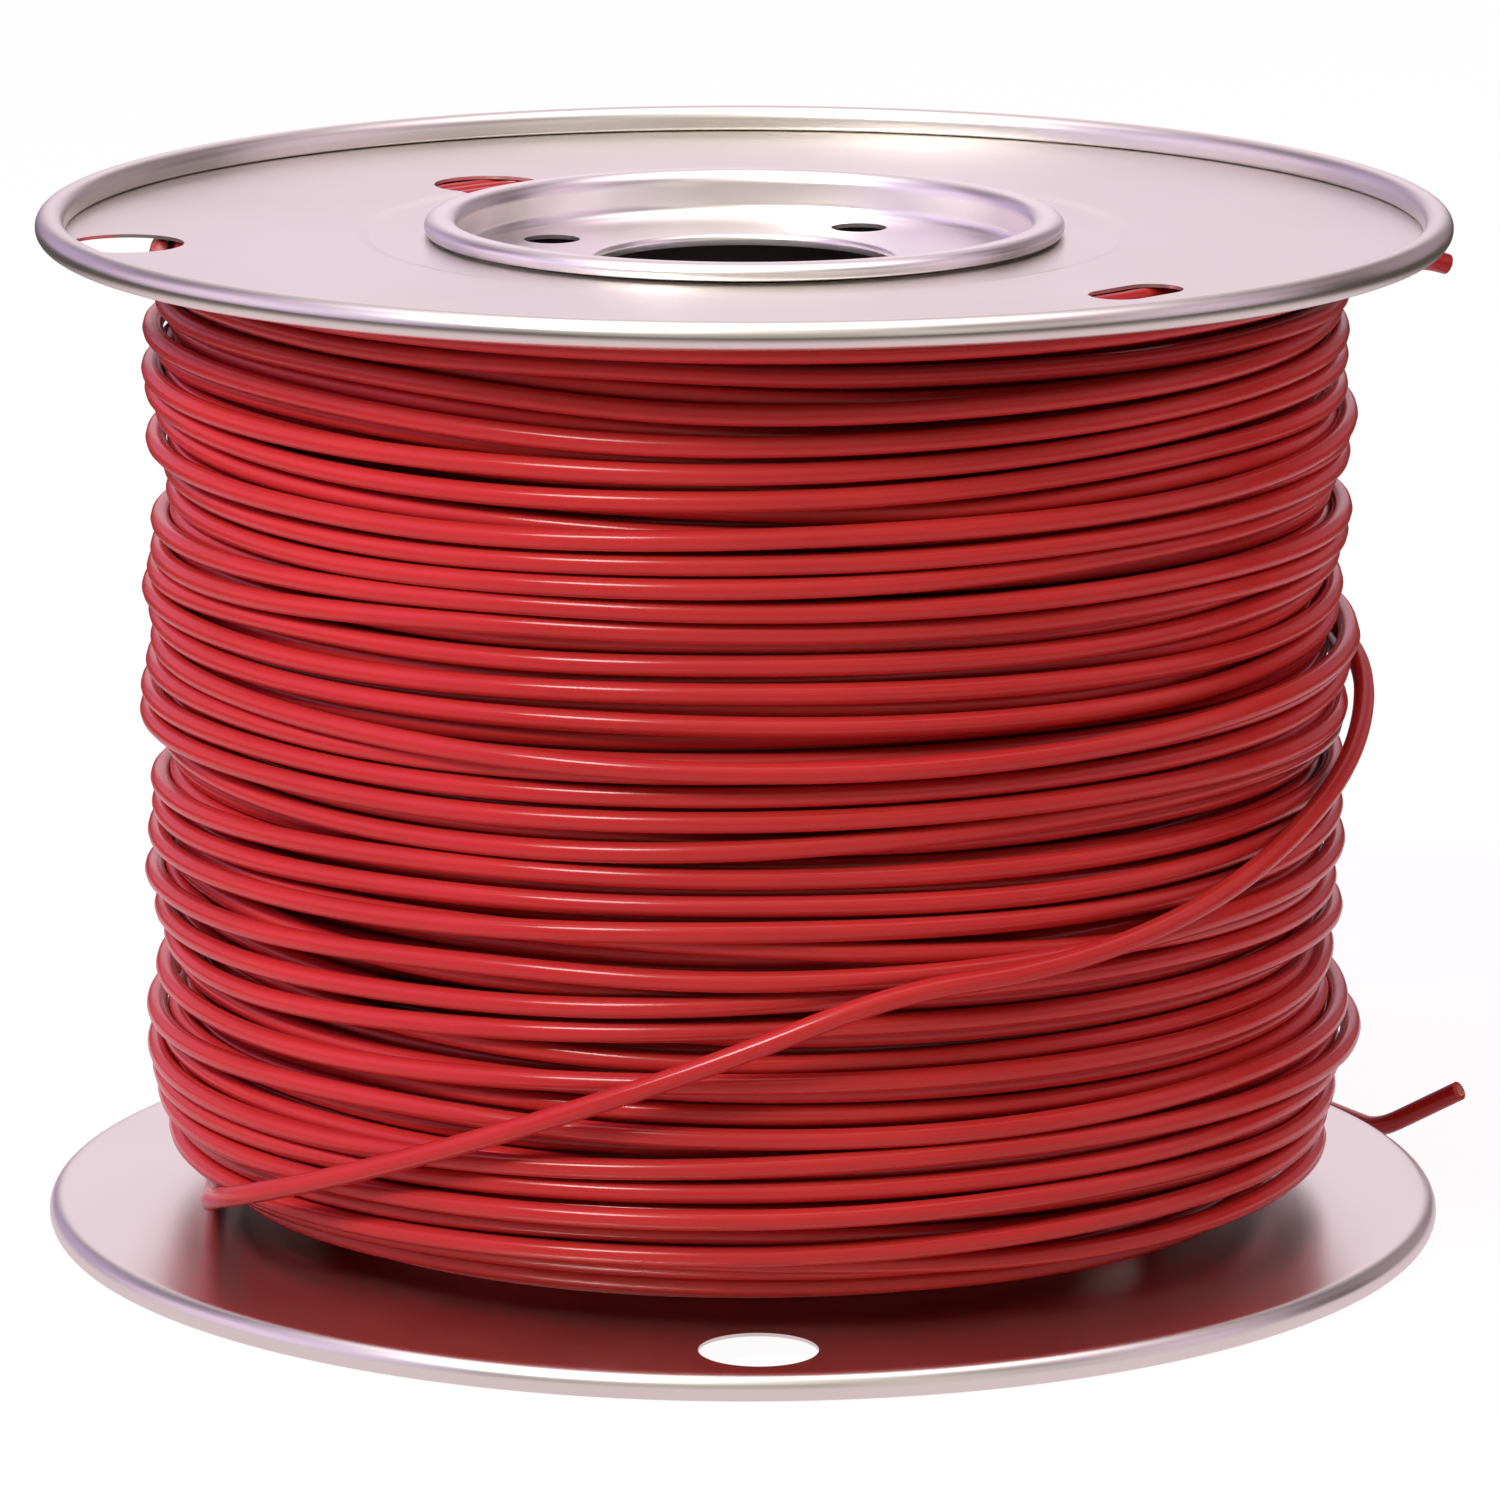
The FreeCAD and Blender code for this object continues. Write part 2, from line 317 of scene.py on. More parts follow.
def make_active(piece):
    deselect_all()
    piece.select_set(True)
    bpy.context.view_layer.objects.active = piece


def around(azimuth, radius, height):
    angle = math.radians(azimuth)
    return Vector((radius * math.cos(angle), radius * math.sin(angle), height))


# Camera


def stand_camera():
    data = bpy.data.cameras.new("camera")
    data.sensor_width = 36
    data.lens = CAMERA_LENS
    data.clip_start = 0.05
    data.clip_end = 20
    camera = bpy.data.objects.new("camera", data)
    camera.location = CAMERA_PLACE
    camera.rotation_euler = (CAMERA_TILT, CAMERA_ROLL, CAMERA_TURN)
    bpy.context.collection.objects.link(camera)
    bpy.context.scene.camera = camera


# Free ends of wire


def free_wire(name, route, finish):
    """Round wire along a smooth spline whose control points are the route's."""
    data = bpy.data.curves.new(name, "CURVE")
    data.dimensions = "3D"
    data.bevel_depth = WIRE / 2
    data.bevel_resolution = 4
    data.resolution_u = 16
    data.use_fill_caps = True
    spline = data.splines.new("NURBS")
    spline.points.add(len(route) - 1)
    for point, place in zip(spline.points, route):
        point.co = (*around(*place), 1)
    spline.order_u = 3
    spline.use_endpoint_u = True
    data.materials.append(finish)
    wire = bpy.data.objects.new(name, data)
    bpy.context.collection.objects.link(wire)
    return wire


def line_of(wire):
    """Points of a wire's centre line, first to last."""
    bare = wire.data.copy()
    bare.bevel_depth = 0
    holder = bpy.data.objects.new("line", bare)
    bpy.context.collection.objects.link(holder)
    mesh = bpy.data.meshes.new_from_object(holder)
    points = [vertex.co.copy() for vertex in mesh.vertices]
    bpy.data.objects.remove(holder)
    bpy.data.curves.remove(bare)
    bpy.data.meshes.remove(mesh)
    return points


def copper_end(name, wire, finish):
    """Bare strands that show at the end of a cut wire, a little proud of it."""
    line = line_of(wire)
    end, way = line[-1], (line[-1] - line[-3]).normalized()
    deselect_all()
    bpy.ops.mesh.primitive_cylinder_add(vertices=STRAND_SIDES, radius=STRAND / 2, depth=2 * STRAND_PROUD)
    strand = bpy.context.active_object
    bpy.ops.object.mode_set(mode="EDIT")
    pick(strand, lambda co: co.z > 0)
    bpy.ops.mesh.bevel(offset=STRAND_EDGE, segments=2)
    bpy.ops.object.mode_set(mode="OBJECT")
    strands = []
    for count, radius in STRAND_RINGS:
        for k in range(count):
            copy = strand.copy()
            copy.data = strand.data.copy()
            copy.location = around(360 * k / count + RING_TURN * count, radius, 0)
            bpy.context.collection.objects.link(copy)
            strands.append(copy)
    bpy.data.objects.remove(strand)
    deselect_all()
    for copy in strands:
        copy.select_set(True)
    bpy.context.view_layer.objects.active = strands[0]
    bpy.ops.object.join()
    bundle = bpy.context.active_object
    bundle.name = name
    bpy.ops.object.transform_apply(location=True, rotation=True, scale=True)
    bundle.rotation_euler = way.to_track_quat("Z", "Y").to_euler()
    bundle.location = end
    bpy.ops.object.transform_apply(location=True, rotation=True, scale=True)
    bpy.ops.object.shade_smooth_by_angle(angle=STRAND_CREASE)
    bundle.data.materials.clear()
    bundle.data.materials.append(finish)
    return bundle


# Winding


def drift(count, turns_apart, size, draws):
    """Smooth random drift along a strand, with a new aim every so many turns."""
    steps = np.arange(count) / (turns_apart * STATIONS)
    aims = draws.normal(0, size, int(steps[-1]) + 2)
    whole = steps.astype(int)
    share = steps - whole
    share = share * share * (3 - 2 * share)
    return aims[whole] * (1 - share) + aims[whole + 1] * share


def sway(heights, azimuths, draws):
    """Smooth random lift that neighbouring turns share, so that they lean in groups."""
    rows = int(HIGHEST_TURN / SWAY_HEIGHT) + 3
    aims = draws.normal(0, SWAY, (rows, SWAY_LOBES))
    row = heights / SWAY_HEIGHT
    low_row = np.clip(np.floor(row).astype(int), 0, rows - 2)
    up = np.clip(row - low_row, 0, 1)
    up = up * up * (3 - 2 * up)
    lobe = azimuths * SWAY_LOBES
    near_lobe = np.floor(lobe).astype(int)
    on = lobe - near_lobe
    on = on * on * (3 - 2 * on)
    near_lobe = near_lobe % SWAY_LOBES
    next_lobe = (near_lobe + 1) % SWAY_LOBES
    lower = aims[low_row, near_lobe] * (1 - on) + aims[low_row, next_lobe] * on
    upper = aims[low_row + 1, near_lobe] * (1 - on) + aims[low_row + 1, next_lobe] * on
    return lower * (1 - up) + upper * up


def smoothed(values, before):
    """Values evened out along the wire, as its stiffness does, on from the part before."""
    reach = int(3 * STIFFNESS) + 1
    offsets = np.arange(-reach, reach + 1)
    weights = np.exp(-(offsets**2) / (2 * STIFFNESS**2))
    weights /= weights.sum()
    lead = before[-reach:] if len(before) >= reach else np.full(reach, values[0])
    onward = 2 * values[-1] - values[-2:-reach - 2:-1]
    return np.convolve(np.concatenate([lead, values, onward]), weights, mode="valid")


def resting_radius(heights, radii_below, heights_below):
    """Radius at which a wire at these heights lies on the wire that is already there."""
    reach = WIRE**2 - (heights - heights_below) ** 2
    over = np.where((reach > 0) & (radii_below > 0), radii_below + np.sqrt(np.maximum(reach, 0)), 0)
    return np.maximum(over.max(axis=0, initial=0), CORE_RADIUS + WIRE / 2) + 0 * heights


def lay_layer(laid, first, last, turns, draws):
    """Radii and heights of one layer's wire, which slides into the grooves that it meets.

    laid holds a row of radii and a row of heights for each turn so far."""
    count = int(turns * STATIONS)
    way = 1 if last > first else -1
    gaps = np.maximum(0, drift(count, GAP_TURNS, 1.0, draws) - GAP_BAR)
    spare = abs(last - first) - turns * TIGHT_PITCH
    pitch = TIGHT_PITCH + gaps / gaps.mean() * spare / turns
    guide = first + way * np.cumsum(pitch) / STATIONS
    azimuths = (np.arange(count) % STATIONS) / STATIONS
    guide = guide + sway(guide, azimuths, draws) + drift(count, WANDER_TURNS, WANDER, draws)
    lowest, highest = min(first, last), max(first, last)
    guide = np.clip(guide, lowest, highest)
    all_radii = np.empty(0)
    all_heights = np.empty(0)
    for start in range(0, count, STATIONS):
        aim = guide[start:start + STATIONS]
        size = len(aim)
        below = [row[:, :size] for row in laid
                 if (np.abs(row[1, :size] - aim.mean()) < NEAR_TURNS).any()]
        radii_below = np.array([row[0] for row in below]).reshape(-1, size)
        heights_below = np.array([row[1] for row in below]).reshape(-1, size)
        heights = aim
        for _ in range(SLIDES):
            above = resting_radius(heights + HAIR, radii_below, heights_below)
            slope = (above - resting_radius(heights - HAIR, radii_below, heights_below)) / (2 * HAIR)
            slope = np.where(np.abs(slope) < GRIP, 0, np.clip(slope, -1, 1))
            heights = aim + np.clip(heights - SLIDE * slope - aim, -LEEWAY, LEEWAY)
            heights = smoothed(np.clip(heights, lowest, highest), all_heights)
        bed = resting_radius(heights, radii_below, heights_below)
        radii = bed
        for _ in range(BRIDGING):
            radii = np.maximum(bed, smoothed(radii, all_radii))
        radii = smoothed(radii, all_radii)
        row = np.zeros((2, STATIONS))
        row[0, :size] = radii
        row[1, :size] = heights
        laid.append(row)
        all_radii = np.concatenate([all_radii, radii])
        all_heights = np.concatenate([all_heights, heights])
    return joined(all_radii), joined(all_heights)


def joined(values):
    """Values evened out where one turn ends and the next begins."""
    count = np.arange(len(values))
    off = np.abs((count + STATIONS / 2) % STATIONS - STATIONS / 2)
    share = np.clip(1 - off / JOINT_REACH, 0, 1) ** JOINT_POWER
    share[:UNJOINED_START] = 0
    share[-UNJOINED_END:] = 0
    return values * (1 - share) + smoothed(smoothed(values, values), values) * share


def wound_wire(name, radii, heights, finish):
    """Mesh of one layer's wire, as a round tube along its line."""
    angles = np.arange(len(radii)) * 2 * math.pi / STATIONS
    data = bpy.data.curves.new(name, "CURVE")
    data.dimensions = "3D"
    data.twist_mode = "Z_UP"
    data.bevel_depth = WIRE / 2
    data.bevel_resolution = (WIRE_SIDES - 4) // 2
    data.use_fill_caps = True
    spline = data.splines.new("POLY")
    spline.points.add(len(radii) - 1)
    places = np.stack([radii * np.cos(angles), radii * np.sin(angles), heights, np.ones(len(radii))], 1)
    spline.points.foreach_set("co", places.ravel())
    wire = bpy.data.objects.new(name, data)
    bpy.context.collection.objects.link(wire)
    make_active(wire)
    bpy.ops.object.convert(target="MESH")
    bpy.ops.object.shade_smooth_by_angle(angle=WIRE_CREASE)
    wire.data.materials.clear()
    wire.data.materials.append(finish)
    return wire


def tucked_end():
    """Row of the tail's hidden end, which the outer layer is wound over."""
    row = np.zeros((2, STATIONS))
    azimuths = np.arange(STATIONS) * 360 / STATIONS
    hidden = (azimuths >= TUCKED_AZIMUTHS[0]) & (azimuths <= TUCKED_AZIMUTHS[1])
    known, *radii_and_heights = zip(*TUCKED_PLACES)
    for k, values in enumerate(radii_and_heights):
        row[k, hidden] = np.interp(azimuths[hidden], known, values)
    return row


def leaning(radii):
    """Radii of a layer that lies a little to the right of the axis."""
    return radii + LEAN * np.cos(np.arange(len(radii)) * 2 * math.pi / STATIONS)


def slack(radii, heights, share):
    """Radii of a layer that is lifted by its share of the slack, where its turns are slack."""
    azimuths = np.arange(len(radii)) * 360 / STATIONS
    for azimuth, height, azimuth_reach, height_reach, lift in SLACK:
        off = (azimuths - azimuth + 180) % 360 - 180
        near = np.exp(-((off / azimuth_reach) ** 2) - ((heights - height) / height_reach) ** 2)
        radii = radii + share * lift * near
    return radii


def run_in(values, first):
    """Values that start at the first one, where the layer below ends."""
    share = np.linspace(1, 0, RUN_IN) ** 2
    values[:RUN_IN] += (first - values[0]) * share
    return values


def run_out(values, last):
    """Values that end at the last one, a little way into the free wire that goes on from there."""
    share = np.linspace(0, 1, RUN_OUT) ** 2 * (3 - 2 * np.linspace(0, 1, RUN_OUT))
    values[-RUN_OUT:] = values[-RUN_OUT:] * (1 - share) + last * share
    return np.concatenate([values, np.full(LAST_STATIONS, last)])


def winding(finish):
    """Layers of wound wire, the outermost last."""
    draws = np.random.RandomState(WINDING_SEED)
    laid = []
    layers = []
    outermost = len(LAYER_TURNS) - 1
    for k, turns in enumerate(LAYER_TURNS):
        lowest = LOWEST_TURN + (OUTER_LOWEST_TURN - LOWEST_TURN) * k / outermost
        upwards = (outermost - k) % 2 == 0
        ends = (lowest, HIGHEST_TURN) if upwards else (HIGHEST_TURN, lowest)
        if k == outermost:
            laid.append(tucked_end())
        radii, heights = lay_layer(laid, *ends, turns, draws)
        if outermost - k < len(SLACK_SHARES):
            radii = slack(radii, heights, SLACK_SHARES[outermost - k])
        if k == outermost:
            radii = run_out(run_in(radii, last_radius), START_ROUTE[0][1])
            heights = run_out(run_in(heights, last_height), START_ROUTE[0][2])
        elif k == outermost - 1:
            last_radius, last_height = radii[-1], heights[-1]
            radii, heights = np.append(radii, last_radius), np.append(heights, last_height)
        radii = leaning(radii)
        if k > outermost - SHOWN_LAYERS:
            layers.append(wound_wire("wound_layer_%d" % (k + 1), radii, heights, finish))
    return layers


def end_turns(finish):
    """Innermost turns of the wire against the top flange, which show through its start hole."""
    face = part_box("top_flange")[1].z - RIM_CURL
    count = END_TURNS * STATIONS
    radii = np.linspace(END_TURNS_RADIUS, END_TURNS_RADIUS + END_TURNS * WIRE, count)
    heights = np.full(count, face - WIRE / 2 - SLIT)
    return wound_wire("end_turns", radii, heights, finish)


def winding_core(finish):
    """Closed ring under the wound layers, from the barrel out."""
    low_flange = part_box("bottom_flange")[1].z
    high_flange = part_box("top_flange")[0].z
    underside = LOWEST_TURN - WIRE / 4
    profile = ((CORE_BORE, low_flange + HAIR), (CORE_FOOT_RADIUS, low_flange + HAIR),
               (CORE_FOOT_RADIUS, underside), (CORE_RADIUS, underside),
               (CORE_RADIUS, high_flange - WIRE), (CORE_BORE, high_flange - WIRE))
    mesh = bpy.data.meshes.new("winding_core")
    edges = [(k, (k + 1) % len(profile)) for k in range(len(profile))]
    mesh.from_pydata([(radius, 0, height) for radius, height in profile], edges, [])
    core = bpy.data.objects.new("winding_core", mesh)
    bpy.context.collection.objects.link(core)
    make_active(core)
    bpy.ops.object.mode_set(mode="EDIT")
    bpy.ops.mesh.select_all(action="SELECT")
    bpy.ops.mesh.spin(steps=CORE_STEPS, angle=2 * math.pi, center=(0, 0, 0), axis=(0, 0, 1))
    bpy.ops.mesh.select_all(action="SELECT")
    bpy.ops.mesh.remove_doubles(threshold=MERGED)
    bpy.ops.mesh.normals_make_consistent(inside=False)
    bpy.ops.object.mode_set(mode="OBJECT")
    mesh.materials.append(finish)
    return core


# Spool


def lies_at(place):
    return lambda co: (co - place).length < SAME_PLACE


def pick(piece, wanted):
    """Selects the vertices of the piece in edit mode that are wanted, and no others."""
    bpy.ops.mesh.select_all(action="DESELECT")
    bpy.ops.object.mode_set(mode="OBJECT")
    for vertex in piece.data.vertices:
        vertex.select = bool(wanted(vertex.co))
    bpy.ops.object.mode_set(mode="EDIT")


def turned_sheet(name, corners, sheet, finish):
    """Bent sheet turned about the axis, from the corners of its middle line."""
    places = [Vector((radius, 0, height)) for radius, height, bend in corners]
    deselect_all()
    bpy.ops.mesh.primitive_plane_add(size=sheet)
    piece = bpy.context.active_object
    piece.name = name
    bpy.ops.object.mode_set(mode="EDIT")
    bpy.ops.mesh.merge(type="CENTER")
    bpy.ops.transform.translate(value=places[0])
    for here, there in zip(places, places[1:]):
        bpy.ops.mesh.extrude_region_move(TRANSFORM_OT_translate={"value": there - here})
    for before, place, after, corner in zip(places, places[1:], places[2:], corners[1:]):
        if corner[2]:
            turn = (place - before).angle(after - place)
            pick(piece, lies_at(place))
            offset = corner[2] * math.tan(turn / 2)
            bpy.ops.mesh.bevel(affect="VERTICES", offset=offset, segments=BEND_STEPS, profile=0.5)
    bpy.ops.mesh.select_all(action="SELECT")
    bpy.ops.mesh.spin(steps=TURN_STEPS, angle=2 * math.pi, center=(0, 0, 0), axis=(0, 0, 1))
    bpy.ops.mesh.select_all(action="SELECT")
    bpy.ops.mesh.remove_doubles(threshold=MERGED)
    bpy.ops.mesh.normals_make_consistent(inside=False)
    bpy.ops.object.mode_set(mode="OBJECT")
    both_faces = piece.modifiers.new("both_faces", "SOLIDIFY")
    both_faces.thickness = sheet
    both_faces.offset = 0
    bpy.ops.object.modifier_apply(modifier=both_faces.name)
    piece.data.materials.append(finish)
    return piece


def hole_cutter(azimuth, radius, length, width=None):
    """Upright post of a round hole or of a slot that runs round the axis."""
    width = width or length
    bpy.ops.mesh.primitive_cylinder_add(vertices=HOLE_SIDES, radius=width / 2, depth=CUTTER_HEIGHT)
    post = bpy.context.active_object
    bpy.ops.object.mode_set(mode="EDIT")
    for side in (-1, 1):
        pick(post, lambda co: co.y * side > SAME_PLACE)
        bpy.ops.transform.translate(value=(0, side * (length - width) / 2, 0))
    bpy.ops.object.mode_set(mode="OBJECT")
    post.location = around(azimuth, radius, 0)
    post.rotation_euler = (0, 0, math.radians(azimuth))
    return post


def punch(piece, holes, height):
    """Cuts the holes through the piece's sheet, which lies at this height."""
    for hole in holes:
        post = hole_cutter(*hole)
        post.location.z = height
        make_active(piece)
        cut = piece.modifiers.new("hole", "BOOLEAN")
        cut.operation = "DIFFERENCE"
        cut.solver = "EXACT"
        cut.object = post
        bpy.ops.object.modifier_apply(modifier=cut.name)
        bpy.data.objects.remove(post)
    bpy.ops.object.shade_smooth_by_angle(angle=SHEET_CREASE)


def flange(name, finish):
    """Flange with its inner face at height 0 and its rim curled upwards."""
    curl = (RIM_CURL - FLANGE_SHEET) / 2
    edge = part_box("top_flange")[1].x - FLANGE_SHEET / 2
    face = FLANGE_SHEET / 2
    seat = face - SEAT_DROP
    underside = face + FLANGE_SHEET + SLIT
    corners = (
        (BORE_RADIUS, seat, 0),
        (SEAT_STEP_RADIUS - SEAT_STEP / 2 - FLAT_MARGIN, seat, 0),
        (SEAT_STEP_RADIUS - SEAT_STEP / 2, seat, SEAT_BEND),
        (SEAT_STEP_RADIUS + SEAT_STEP / 2, face, SEAT_BEND),
        (SEAT_STEP_RADIUS + SEAT_STEP / 2 + FLAT_MARGIN, face, 0),
        (edge - curl - FLAT_MARGIN, face, 0),
        (edge, face, curl),
        (edge, face + 2 * curl, curl),
        (edge - 2 * curl, face + 2 * curl, curl),
        (edge - 2 * curl, underside, CURL_EDGE_BEND * curl),
        (edge - CURL_EDGE_REACH * curl, underside, 0),
    )
    piece = turned_sheet(name, corners, FLANGE_SHEET, finish)
    punch(piece, (RIM_HOLE, START_HOLE, TUCK_SLOT), face)
    return piece


def arbor_plate(name, finish):
    """Arbor plate with the flange's seat at height 0."""
    piece = turned_sheet(name, ARBOR_PLATE, PLATE_SHEET, finish)
    punch(piece, DRIVE_HOLES, WEB_HEIGHT)
    return piece


def set_down(piece, height, turned_over=False, turn=0):
    """Moves a piece to its height, turned over first if it belongs at the bottom."""
    make_active(piece)
    piece.location.z = height
    if turned_over:
        piece.rotation_euler = (math.pi, 0, math.radians(turn))
    bpy.ops.object.transform_apply(location=True, rotation=True, scale=True)


def spool(flange_finish, plate_finish_with_painted_light):
    """Flanges and arbor plates, by the name of the CAD node that each stands for."""
    top_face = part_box("top_flange")[1].z - RIM_CURL
    bottom_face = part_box("bottom_flange")[0].z + RIM_CURL
    seat = FLANGE_SHEET - SEAT_DROP
    pieces = {
        "top_flange": flange("flange_top", flange_finish),
        "bottom_flange": flange("flange_bottom", flange_finish),
        "top_arbor_plate": arbor_plate("arbor_plate_top", plate_finish_with_painted_light),
        "bottom_arbor_plate": arbor_plate("arbor_plate_bottom", plate_finish_with_painted_light),
    }
    set_down(pieces["top_flange"], top_face)
    set_down(pieces["bottom_flange"], bottom_face, True, BOTTOM_FLANGE_TURN)
    set_down(pieces["top_arbor_plate"], top_face + seat)
    set_down(pieces["bottom_arbor_plate"], bottom_face - seat, True, BOTTOM_PLATE_TURN)
    return pieces


# Finishes


def new_finish(name):
    finish = bpy.data.materials.new(name)
    finish.use_nodes = True
    nodes, links = finish.node_tree.nodes, finish.node_tree.links
    return finish, nodes, links, nodes["Principled BSDF"]


def speckle(nodes, links, place, scale, detail, low, high, socket):
    """Noise on the piece's own coordinates, spread from low to high, into a socket."""
    noise = nodes.new("ShaderNodeTexNoise")
    noise.inputs["Scale"].default_value = scale
    noise.inputs["Detail"].default_value = detail
    links.new(place, noise.inputs["Vector"])
    spread = nodes.new("ShaderNodeMapRange")
    spread.inputs["From Min"].default_value, spread.inputs["From Max"].default_value = SPECKLE_SPREAD
    spread.inputs["To Min"].default_value = low
    spread.inputs["To Max"].default_value = high
    links.new(noise.outputs["Fac"], spread.inputs["Value"])
    links.new(spread.outputs["Result"], socket)


def two_tone(nodes, links, place, scale, first, second, socket):
    """Soft noise between two close colours, into a socket."""
    noise = nodes.new("ShaderNodeTexNoise")
    noise.inputs["Scale"].default_value = scale
    noise.inputs["Detail"].default_value = TONE_DETAIL
    links.new(place, noise.inputs["Vector"])
    ramp = nodes.new("ShaderNodeValToRGB")
    for element, position, colour in zip(ramp.color_ramp.elements, TONE_SPREAD, (first, second)):
        element.position = position
        element.color = (*colour, 1)
    links.new(noise.outputs["Fac"], ramp.inputs["Fac"])
    links.new(ramp.outputs["Color"], socket)


def detailed_finish(name):
    """Finish with this name from the table, with its soft tone and its speckle."""
    tone_scale, first, second, speckle_scale, detail, low, high, metal, gloss = FINISHES[name]
    finish, nodes, links, shader = new_finish(name)
    place = nodes.new("ShaderNodeTexCoord").outputs["Object"]
    two_tone(nodes, links, place, tone_scale, first, second, shader.inputs["Base Color"])
    speckle(nodes, links, place, speckle_scale, detail, low, high, shader.inputs["Roughness"])
    shader.inputs["Metallic"].default_value = metal
    shader.inputs["Specular IOR Level"].default_value = gloss
    return finish


# Studio


def white_floor():
    """Pale floor that is white to the camera, and that glows to glossy rays as a painted reflection of a
    pale sheet on a dark table.
    """
    bpy.ops.mesh.primitive_circle_add(vertices=FLOOR_SIDES, radius=FLOOR_RADIUS, fill_type="NGON",
                                      location=(0, 0, 0))
    floor = bpy.context.active_object
    floor.name = "floor"
    finish, nodes, links, shader = new_finish("white_floor")
    shader.inputs["Base Color"].default_value = (*FLOOR_COLOUR, 1)
    shader.inputs["Roughness"].default_value = FLOOR_ROUGHNESS
    shader.inputs["Specular IOR Level"].default_value = FLOOR_GLOSS
    glow = nodes.new("ShaderNodeEmission")
    glow.inputs["Strength"].default_value = FLOOR_GLOW
    path = nodes.new("ShaderNodeLightPath")
    seen = nodes.new("ShaderNodeMath")
    seen.operation = "MULTIPLY"
    seen.inputs[1].default_value = GLOW_SHARE
    links.new(path.outputs["Is Camera Ray"], seen.inputs[0])
    mix = nodes.new("ShaderNodeMixShader")
    links.new(seen.outputs[0], mix.inputs["Fac"])
    links.new(shader.outputs["BSDF"], mix.inputs[1])
    links.new(glow.outputs["Emission"], mix.inputs[2])
    # Painted reflection: glossy rays see this emission in place of the floor, the sheet's colour near
    # the spool and the table's further out
    place = nodes.new("ShaderNodeTexCoord").outputs["Object"]
    away = nodes.new("ShaderNodeVectorMath")
    away.operation = "LENGTH"
    links.new(place, away.inputs[0])
    beyond = nodes.new("ShaderNodeMapRange")
    beyond.interpolation_type = "SMOOTHSTEP"
    beyond.inputs["From Min"].default_value, beyond.inputs["From Max"].default_value = PAINTED_SHEET_REACH
    links.new(away.outputs["Value"], beyond.inputs["Value"])
    reflected_colour = nodes.new("ShaderNodeMix")
    reflected_colour.data_type = "RGBA"
    reflected_colour.inputs["A"].default_value = (*PAINTED_SHEET_REFLECTION, 1)
    reflected_colour.inputs["B"].default_value = (*PAINTED_TABLE_REFLECTION, 1)
    links.new(beyond.outputs["Result"], reflected_colour.inputs["Factor"])
    table = nodes.new("ShaderNodeEmission")
    links.new(reflected_colour.outputs["Result"], table.inputs["Color"])
    both = nodes.new("ShaderNodeMixShader")
    links.new(path.outputs["Is Glossy Ray"], both.inputs["Fac"])
    links.new(mix.outputs["Shader"], both.inputs[1])
    links.new(table.outputs["Emission"], both.inputs[2])
    links.new(both.outputs["Shader"], nodes["Material Output"].inputs["Surface"])
    floor.data.materials.append(finish)


def wall(nodes, links, direction, azimuth, elevation, inner, outer, colour):
    """Soft round patch of the room round a direction, with its colour."""
    facing = nodes.new("ShaderNodeVectorMath")
    facing.operation = "DOT_PRODUCT"
    tilt = math.radians(elevation)
    facing.inputs[1].default_value = around(azimuth, math.cos(tilt), math.sin(tilt))
    links.new(direction, facing.inputs[0])
    edge = nodes.new("ShaderNodeMapRange")
    edge.interpolation_type = "SMOOTHSTEP"
    edge.inputs["From Min"].default_value = math.cos(math.radians(outer))
    edge.inputs["From Max"].default_value = math.cos(math.radians(inner))
    links.new(facing.outputs["Value"], edge.inputs["Value"])
    tinted = nodes.new("ShaderNodeVectorMath")
    tinted.operation = "SCALE"
    tinted.inputs[0].default_value = colour
    links.new(edge.outputs["Result"], tinted.inputs["Scale"])
    return tinted.outputs["Vector"]


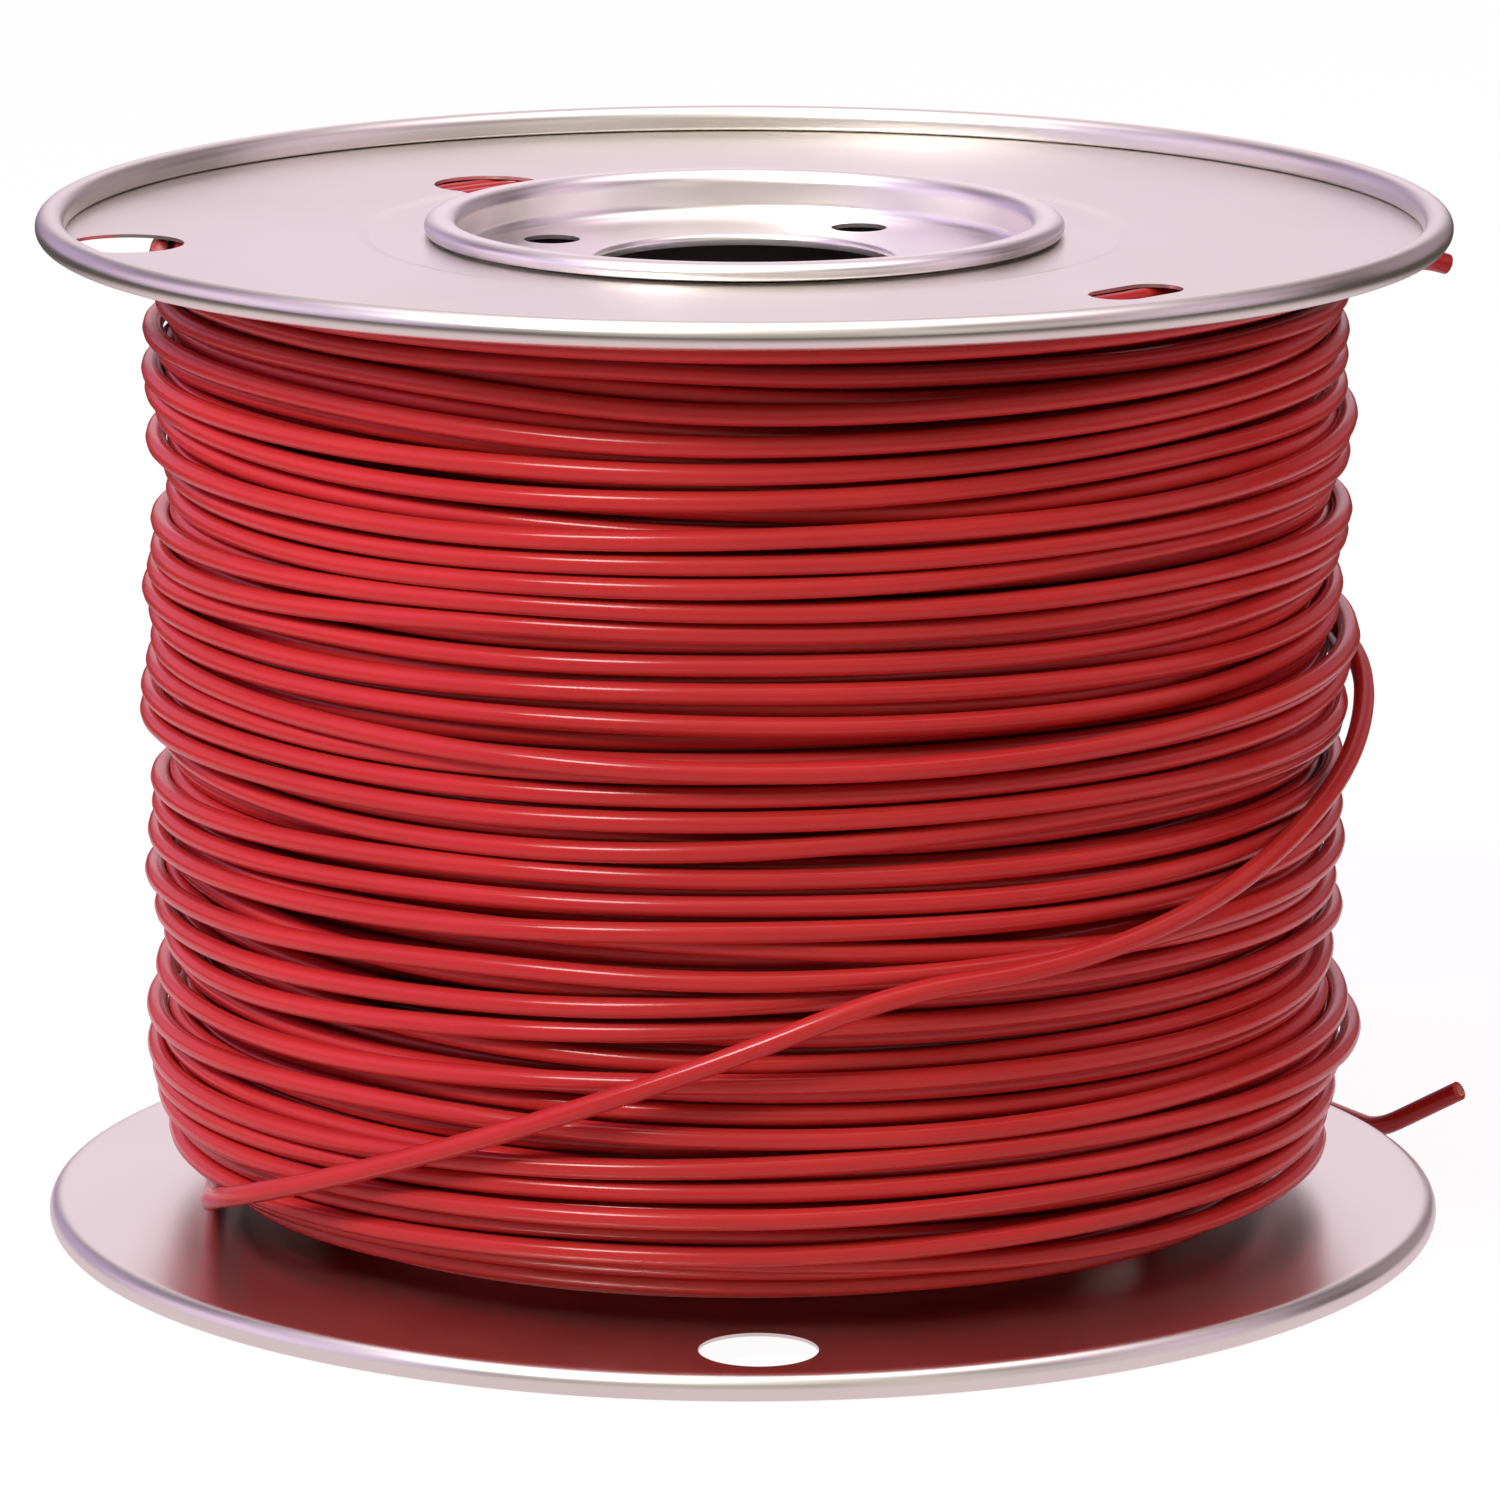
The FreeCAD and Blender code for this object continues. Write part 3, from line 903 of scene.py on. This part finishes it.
def studio_world():
    """Room as the gloss shows it, with plain ambient light and a white background."""
    world = bpy.data.worlds.new("studio")
    bpy.context.scene.world = world
    world.use_nodes = True
    nodes, links = world.node_tree.nodes, world.node_tree.links
    direction = nodes.new("ShaderNodeTexCoord").outputs["Generated"]
    room = wall(nodes, links, direction, *ROOM[0])
    for patch in ROOM[1:]:
        total = nodes.new("ShaderNodeVectorMath")
        total.operation = "ADD"
        links.new(room, total.inputs[0])
        links.new(wall(nodes, links, direction, *patch), total.inputs[1])
        room = total.outputs["Vector"]
    path = nodes.new("ShaderNodeLightPath")
    mirrored = nodes.new("ShaderNodeMix")
    mirrored.data_type = "RGBA"
    mirrored.inputs["A"].default_value = (*AMBIENT, 1)
    links.new(path.outputs["Is Glossy Ray"], mirrored.inputs["Factor"])
    links.new(room, mirrored.inputs["B"])
    seen = nodes.new("ShaderNodeMix")
    seen.data_type = "RGBA"
    seen.inputs["B"].default_value = (1, 1, 1, 1)
    links.new(path.outputs["Is Camera Ray"], seen.inputs["Factor"])
    links.new(mirrored.outputs["Result"], seen.inputs["A"])
    links.new(seen.outputs["Result"], nodes["Background"].inputs["Color"])
    nodes["Background"].inputs["Strength"].default_value = 1


def soft_light(name, azimuth, elevation, distance, width, height, power, colour, mirrored):
    """Area light that faces the spool; mirrored says whether its shape shows in the gloss."""
    data = bpy.data.lights.new(name, "AREA")
    data.shape = "RECTANGLE"
    data.size = width
    data.size_y = height
    data.energy = power
    data.color = colour
    light = bpy.data.objects.new(name, data)
    centre = Vector((0, 0, (cad_low.z + cad_high.z) / 2))
    flat = distance * math.cos(math.radians(elevation))
    light.location = centre + around(azimuth, flat, distance * math.sin(math.radians(elevation)))
    light.rotation_euler = (light.location - centre).to_track_quat("Z", "Y").to_euler()
    light.visible_glossy = mirrored
    bpy.context.collection.objects.link(light)


def studio_lights():
    for light in LIGHTS:
        soft_light(*light)


# The object

stand_camera()
insulation = detailed_finish("red_insulation")
flange_steel = detailed_finish("flange_steel")
plate_steel_with_painted_light = detailed_finish("plate_steel_with_painted_light")

tail = free_wire("tail_wire", TAIL_ROUTE, insulation)
start = free_wire("start_wire", START_ROUTE, insulation)
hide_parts("wire_tail")
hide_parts("wire_start")

copper = detailed_finish("bare_copper")
for name, wire in (("tail_strands", tail), ("start_strands", start)):
    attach(copper_end(name, wire, copper), "root")

wound = winding(insulation) + [winding_core(insulation), end_turns(insulation)]
for piece in wound:
    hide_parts("wire_winding")
for piece in wound + [tail, start]:
    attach(piece, "root")

for node, piece in spool(flange_steel, plate_steel_with_painted_light).items():
    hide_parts(node)
    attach(piece, "root")
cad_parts["barrel"].material_slots[0].material = detailed_finish("dull_steel")

white_floor()
studio_world()
studio_lights()
bpy.context.scene.view_settings.view_transform = "Standard"
